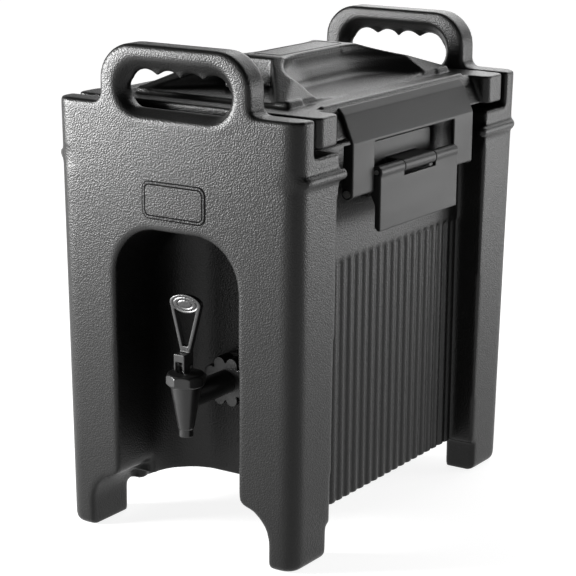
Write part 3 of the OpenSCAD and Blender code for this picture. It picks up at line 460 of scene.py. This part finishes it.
def moulded_plastic():
    """Charcoal moulded plastic with a pebbled grain."""
    look = bpy.context.scene.dispenser_moulded
    material, tree, shader, place = start_material("moulded_plastic")
    blotch = noise(tree, place, scale=22.0, detail=4.0)
    tint(tree, shader, blotch, dark=shade(look.color, 0.86), light=shade(look.color, 1.14))
    grain = pebbles(tree, place, 1.0 / look.grain)
    wave = relief(tree, shader, noise(tree, place, scale=60.0), depth=0.0001)
    relief(tree, shader, grain, look.grain_depth, wave)
    roughen(tree, shader, grain, to_low=0.42, to_high=0.27, span=PEBBLE_SPAN)
    shader.inputs["Specular IOR Level"].default_value = look.gloss
    return material


def groove_plastic():
    """The shell's plastic darkened with painted shade, standing for the shadow inside a thin groove."""
    color = bpy.context.scene.dispenser_moulded.color
    material, tree, shader, place = start_material("groove_plastic")
    cloud = noise(tree, place, scale=200.0, detail=3.0)
    # Painted shade: the colour is cut to a fifth to a third of the shell's, and the gloss is low, so the
    # strips read as shadowed grooves
    tint(tree, shader, cloud, dark=shade(color, 0.2), light=shade(color, 0.35))
    relief(tree, shader, cloud, depth=0.00005)
    roughen(tree, shader, cloud, to_low=0.80, to_high=0.95)
    shader.inputs["Specular IOR Level"].default_value = 0.08
    return material


def latch_plastic():
    """Smooth satin plastic of the latches, with faint flow marks."""
    look = bpy.context.scene.dispenser_latch
    material, tree, shader, place = start_material("latch_plastic")
    flow = noise(tree, place, scale=30.0, detail=5.0, stretch=(1.0, 0.25, 1.0))
    tint(tree, shader, flow, dark=shade(look.color, 0.9), light=shade(look.color, 1.1))
    relief(tree, shader, noise(tree, place, scale=1400.0), depth=0.00005)
    roughen(tree, shader, flow, to_low=0.42, to_high=0.50)
    shader.inputs["Specular IOR Level"].default_value = look.gloss
    return material


def tap_plastic():
    """Glossy black plastic of the tap."""
    color = bpy.context.scene.dispenser_tap.color
    material, tree, shader, place = start_material("tap_plastic")
    cloud = noise(tree, place, scale=90.0, detail=4.0)
    tint(tree, shader, cloud, dark=shade(color, 0.8), light=shade(color, 1.3))
    relief(tree, shader, noise(tree, place, scale=500.0), depth=0.00006)
    roughen(tree, shader, cloud, to_low=0.28, to_high=0.38)
    return material


def fitting_plastic():
    """Satin plastic of the vent pieces."""
    material, tree, shader, place = start_material("fitting_plastic")
    cloud = noise(tree, place, scale=120.0, detail=4.0)
    tint(tree, shader, cloud, dark=(0.012, 0.012, 0.012), light=(0.018, 0.018, 0.0177))
    relief(tree, shader, noise(tree, place, scale=1500.0), depth=0.00005)
    roughen(tree, shader, cloud, to_low=0.34, to_high=0.46)
    return material


def liner_plastic():
    """Smooth food-grade liner with the faint waves of a moulding."""
    material, tree, shader, place = start_material("liner_plastic")
    cloud = noise(tree, place, scale=30.0, detail=4.0)
    tint(tree, shader, cloud, dark=(0.016, 0.016, 0.016), light=(0.024, 0.024, 0.0236))
    wave = relief(tree, shader, noise(tree, place, scale=70.0), depth=0.0004)
    relief(tree, shader, noise(tree, place, scale=900.0), depth=0.00006, below=wave)
    roughen(tree, shader, cloud, to_low=0.38, to_high=0.50)
    return material


def foam_filling():
    """Rigid insulating foam with small cells."""
    material, tree, shader, place = start_material("foam_filling")
    cells = pebbles(tree, place, scale=700.0)
    cloud = noise(tree, place, scale=40.0, detail=4.0)
    tint(tree, shader, cloud, dark=(0.62, 0.52, 0.29), light=(0.78, 0.69, 0.44))
    relief(tree, shader, cells, depth=0.0004)
    roughen(tree, shader, cells, to_low=0.95, to_high=0.8, span=PEBBLE_SPAN)
    return material


def seal_rubber():
    """Grey rubber of gasket, washers and seals."""
    material, tree, shader, place = start_material("seal_rubber")
    cloud = noise(tree, place, scale=200.0, detail=4.0)
    tint(tree, shader, cloud, dark=(0.20, 0.20, 0.195), light=(0.27, 0.27, 0.262))
    relief(tree, shader, noise(tree, place, scale=1800.0), depth=0.00006)
    roughen(tree, shader, cloud, to_low=0.62, to_high=0.78)
    return material


def drawn_steel():
    """Steel of pins, screws and spring, with lines along the drawing direction."""
    material, tree, shader, place = start_material("drawn_steel")
    shader.inputs["Metallic"].default_value = 1.0
    lines = noise(tree, place, scale=900.0, detail=3.0, stretch=(1.0, 0.08, 1.0))
    tint(tree, shader, lines, dark=(0.40, 0.40, 0.40), light=(0.56, 0.56, 0.55))
    relief(tree, shader, lines, depth=0.00004)
    roughen(tree, shader, lines, to_low=0.28, to_high=0.44)
    return material


# Pieces

class DISPENSER_OT_shell(bpy.types.Operator):
    """Softens the moulded body's shell"""

    bl_idname = "dispenser.shell"
    bl_label = "Moulded Shell"

    def execute(self, context):
        look = context.scene.dispenser_moulded
        low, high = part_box("outer_shell")

        def reach(point):
            """Little on the ribs and the posts' bead, much where the bead runs out on the front wall."""
            side = abs(point.x)
            ribs = side > RIBS_INNER_X and abs(point.y) < RIBS_END_Y and point.z < RIBS_TOP_Z
            beaded = abs(point.z - POST_BEAD_Z) < POST_BEAD_HALF
            if beaded and point.y < low.y + BEAD_END_DEPTH and side > high.x - BEAD_END_WIDTH:
                return look.bead_end
            if ribs or beaded and (side > high.x - POST_BEAD_DEPTH or point.y > high.y - POST_BEAD_DEPTH):
                return look.shell_fine_edge
            return look.shell_edge

        moulded("outer_shell", "moulded_shell", moulded_plastic(), look.shell_voxel, reach, SHELL_TRIANGLES)
        return {"FINISHED"}


class DISPENSER_OT_lid(bpy.types.Operator):
    """Softens the lid and adds the line round its plateau"""

    bl_idname = "dispenser.lid"
    bl_label = "Moulded Lid"

    def execute(self, context):
        look = context.scene.dispenser_moulded
        plastic = bpy.data.materials["moulded_plastic"]
        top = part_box("lid_shell")[1].z

        def reach(point):
            """Little on the beads along the rim and on the grooves beside the plateau."""
            side = abs(point.x)
            bead = abs(side - RIM_BEAD_X) < RIM_BEAD_HALF and point.z > RIM_BEAD_FROM_Z
            beside = abs(side - PLATEAU_GROOVE_X) < PLATEAU_GROOVE_HALF
            groove = beside and abs(point.z - top + PLATEAU_GROOVE_DROP) < PLATEAU_GROOVE_DEPTH
            return look.lid_fine_edge if bead or groove else look.lid_edge

        moulded("lid_shell", "moulded_lid", plastic, look.lid_voxel, reach, LID_TRIANGLES)
        line = raised_plate("lid_panel_line", place=Matrix.Translation((0.0, 0.0, top)), **LID_PANEL)
        line.data.materials.append(plastic)
        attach(line, "lid")
        return {"FINISHED"}


class DISPENSER_OT_label(bpy.types.Operator):
    """Adds the bare label place on the front wall, a panel and a rim, each inside a shallow groove whose
    shade is painted dark
    """

    bl_idname = "dispenser.label"
    bl_label = "Label Place"

    def execute(self, context):
        look = context.scene.dispenser_label
        top, bottom = (self.on_wall(look.middle + side * look.height / 2) for side in (1, -1))
        lean = math.atan2(bottom.y - top.y, look.height)
        place = Matrix.Translation((top + bottom) / 2) @ Matrix.Rotation(math.pi / 2 + lean, 4, "X")
        # The two grooves are low strips in plastic darkened with painted shade; rim and panel keep the
        # shell's plastic
        groove, smooth = groove_plastic(), bpy.data.materials["moulded_plastic"]
        low_rise = LABEL_GROOVE_SHARE * look.rise
        pieces = (
            ("label_groove_outer", groove, 0.0, look.line, low_rise),
            ("label_rim", smooth, look.line, look.rim, look.rise),
            ("label_groove_inner", groove, look.line + look.rim, look.line, low_rise),
            ("label_panel", smooth, 2 * look.line + look.rim, None, look.rise),
        )
        for name, plastic, inset, line, rise in pieces:
            corner = max(look.corner - inset, look.line)
            piece = raised_plate(
                name, look.width - 2 * inset, look.height - 2 * inset, corner, rise, place, line)
            piece.data.materials.append(plastic)
            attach(piece, BODY_OF["outer_shell"])
        return {"FINISHED"}

    def on_wall(self, height):
        """Point in the middle of the softened front wall, at the given height."""
        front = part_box("outer_shell")[0].y
        wall = bpy.data.objects["moulded_shell"]
        return wall.ray_cast(Vector((0.0, 2.0 * front, height)), Vector((0.0, 1.0, 0.0)))[1]


class DISPENSER_OT_latches(bpy.types.Operator):
    """Softens the plastic pieces of both latches"""

    bl_idname = "dispenser.latches"
    bl_label = "Latches"

    def execute(self, context):
        look = context.scene.dispenser_latch
        plastic = latch_plastic()
        for side in ("right", "left"):
            for piece, triangles in LATCH_TRIANGLES.items():
                node = f"{side}_{piece}"
                moulded(node, f"{node}_moulding", plastic, look.voxel, look.edge, triangles)
        return {"FINISHED"}


class DISPENSER_OT_tap(bpy.types.Operator):
    """Softens the plastic pieces of the tap"""

    bl_idname = "dispenser.tap"
    bl_label = "Tap"

    def execute(self, context):
        look = context.scene.dispenser_tap
        plastic = tap_plastic()
        for node, edge in TAP_EDGES.items():
            moulded(node, f"{node}_moulding", plastic, look.voxel, edge, TAP_TRIANGLES)
        dress("tap_shank", plastic)
        return {"FINISHED"}


class DISPENSER_OT_vent(bpy.types.Operator):
    """Finishes the vent in the lid's pocket"""

    bl_idname = "dispenser.vent"
    bl_label = "Vent"

    def execute(self, context):
        look = context.scene.dispenser_tap
        plastic = fitting_plastic()
        moulded("vent_cap", "vent_cap_moulding", plastic, look.voxel, VENT_EDGE, VENT_TRIANGLES)
        dress("vent_bush", plastic)
        return {"FINISHED"}


class DISPENSER_OT_hardware(bpy.types.Operator):
    """Finishes pins, screws and stem, and the tap's spring"""

    bl_idname = "dispenser.hardware"
    bl_label = "Pins and Screws"

    def execute(self, context):
        steel = drawn_steel()
        for node, slot in SLOT_OF.items():
            if slot == "steel":
                dress(node, steel)
        self.spring(steel)
        return {"FINISHED"}

    def spring(self, steel):
        """The wound spring, as a smooth steel copy of its CAD node on the same body."""
        coil = welded_copy("tap_spring", "tap_spring_coil")
        coil.data.materials.append(steel)
        coil.data.shade_smooth()
        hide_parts("tap_spring")
        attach(coil, BODY_OF["tap_spring"])
        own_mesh(coil)


class DISPENSER_OT_inside(bpy.types.Operator):
    """Finishes the tank, the lid's liner, the foam and the seals"""

    bl_idname = "dispenser.inside"
    bl_label = "Tank, Foam and Seals"

    def execute(self, context):
        finishes = {
            "liner_plastic": liner_plastic(),
            "insulating_foam": foam_filling(),
            "seal_rubber": seal_rubber(),
        }
        for node, slot in SLOT_OF.items():
            if slot in finishes:
                dress(node, finishes[slot])
        return {"FINISHED"}


class DISPENSER_OT_studio(bpy.types.Operator):
    """Sets the floor, the lamps, the surroundings and the camera"""

    bl_idname = "dispenser.studio"
    bl_label = "Studio"

    def execute(self, context):
        look = context.scene.dispenser_studio
        self.floor(look)
        self.surroundings(look)
        for name, (size, place, target) in LAMPS.items():
            self.lamp(f"{name}_lamp", getattr(look, name), size, place, target)
        self.camera(look)
        context.scene.view_settings.view_transform = "Standard"
        return {"FINISHED"}

    def floor(self, look):
        """A pale floor that keeps the object's shadow and turns white away from it."""
        shape = bmesh.new()
        bmesh.ops.create_grid(shape, x_segments=1, y_segments=1, size=FLOOR_REACH)
        floor = piece_of(shape, "studio_floor")
        material, tree, shader, place = start_material("pale_floor")
        shader.inputs["Base Color"].default_value = (*look.floor, 1.0)
        shader.inputs["Roughness"].default_value = FLOOR_ROUGHNESS
        shader.inputs["Emission Color"].default_value = WHITE
        away = tree.nodes.new("ShaderNodeVectorMath")
        away.operation = "LENGTH"
        tree.links.new(place, away.inputs[0])
        white = spread(tree, away.outputs["Value"], **FLOOR_WHITE)
        glow = combine(tree, "MULTIPLY", white, self.seen_directly(tree))
        tree.links.new(glow, shader.inputs["Emission Strength"])
        floor.data.materials.append(material)

    def surroundings(self, look):
        """White near the horizon for what is seen, and a faint light from all round on the object."""
        world = bpy.data.worlds.new("white_surroundings")
        world.use_nodes = True
        tree = world.node_tree
        light = tree.nodes["Background"]
        light.inputs["Color"].default_value = WHITE
        direction = tree.nodes.new("ShaderNodeTexCoord")
        height = tree.nodes.new("ShaderNodeSeparateXYZ")
        tree.links.new(direction.outputs["Generated"], height.inputs[0])
        sweep = spread(tree, height.outputs["Z"], **HORIZON_WHITE)
        white = combine(tree, "MULTIPLY", sweep, self.seen_directly(tree))
        strength = spread(tree, white, low=0.0, high=1.0, to_low=look.ambient, to_high=1.0)
        tree.links.new(strength, light.inputs["Strength"])
        bpy.context.scene.world = world

    def seen_directly(self, tree):
        """1 for what the camera sees, also mirrored or through glass, and 0 for light on the object."""
        rays = tree.nodes.new("ShaderNodeLightPath")
        seen = rays.outputs["Is Camera Ray"]
        for name in ("Is Glossy Ray", "Is Transmission Ray"):
            seen = combine(tree, "MAXIMUM", seen, rays.outputs[name])
        return seen

    def lamp(self, name, power, size, place, target):
        """A rectangular lamp that looks at its target."""
        data = bpy.data.lights.new(name, "AREA")
        data.shape = "RECTANGLE"
        data.size, data.size_y = size
        data.energy = power
        lamp = bpy.data.objects.new(name, data)
        lamp.location = place
        lamp.rotation_euler = (Vector(target) - Vector(place)).to_track_quat("-Z", "Y").to_euler()
        bpy.context.scene.collection.objects.link(lamp)

    def camera(self, look):
        """The camera at the photo's place, turned, tilted and rolled as there."""
        data = bpy.data.cameras.new("photo_camera")
        data.sensor_width = CAMERA_SENSOR
        data.lens = look.lens
        data.clip_end = CAMERA_SIGHT
        camera = bpy.data.objects.new("photo_camera", data)
        level = math.cos(look.pitch)
        ahead = Vector((-math.sin(look.yaw) * level, math.cos(look.yaw) * level, -math.sin(look.pitch)))
        right = Vector((math.cos(look.yaw), math.sin(look.yaw), 0.0))
        up = right.cross(ahead)
        right_rolled = math.cos(look.roll) * right + math.sin(look.roll) * up
        up_rolled = math.cos(look.roll) * up - math.sin(look.roll) * right
        turn = Matrix((right_rolled, up_rolled, -ahead)).transposed().to_4x4()
        camera.matrix_world = Matrix.Translation(Vector(look.place)) @ turn
        bpy.context.scene.collection.objects.link(camera)
        bpy.context.scene.camera = camera


class DISPENSER_PT_pieces(bpy.types.Panel):
    """Pieces of the dispenser and their sizes and colours"""

    bl_idname = "DISPENSER_PT_pieces"
    bl_label = "Dispenser"
    bl_space_type = "VIEW_3D"
    bl_region_type = "UI"
    bl_category = "Dispenser"

    def draw(self, context):
        for group in GROUPS:
            settings = getattr(context.scene, GROUPS[group])
            box = self.layout.box()
            for name in settings.__annotations__:
                box.prop(settings, name)
        for piece in PIECES:
            self.layout.operator(piece.bl_idname)


GROUPS = {
    MouldedFinish: "dispenser_moulded",
    LatchFinish: "dispenser_latch",
    TapFinish: "dispenser_tap",
    LabelPlace: "dispenser_label",
    StudioLook: "dispenser_studio",
}
PIECES = (
    DISPENSER_OT_shell, DISPENSER_OT_lid, DISPENSER_OT_label, DISPENSER_OT_latches, DISPENSER_OT_tap,
    DISPENSER_OT_vent, DISPENSER_OT_hardware, DISPENSER_OT_inside, DISPENSER_OT_studio,
)


def register():
    for group, name in GROUPS.items():
        bpy.utils.register_class(group)
        setattr(bpy.types.Scene, name, bpy.props.PointerProperty(type=group))
    for piece in (*PIECES, DISPENSER_PT_pieces):
        bpy.utils.register_class(piece)


def unregister():
    for piece in (DISPENSER_PT_pieces, *reversed(PIECES)):
        bpy.utils.unregister_class(piece)
    for group, name in reversed(GROUPS.items()):
        delattr(bpy.types.Scene, name)
        bpy.utils.unregister_class(group)


def main():
    register()
    bpy.ops.dispenser.shell()
    bpy.ops.dispenser.lid()
    bpy.ops.dispenser.label()
    bpy.ops.dispenser.latches()
    bpy.ops.dispenser.tap()
    bpy.ops.dispenser.vent()
    bpy.ops.dispenser.hardware()
    bpy.ops.dispenser.inside()
    bpy.ops.dispenser.studio()


if __name__ == "__main__":
    main()
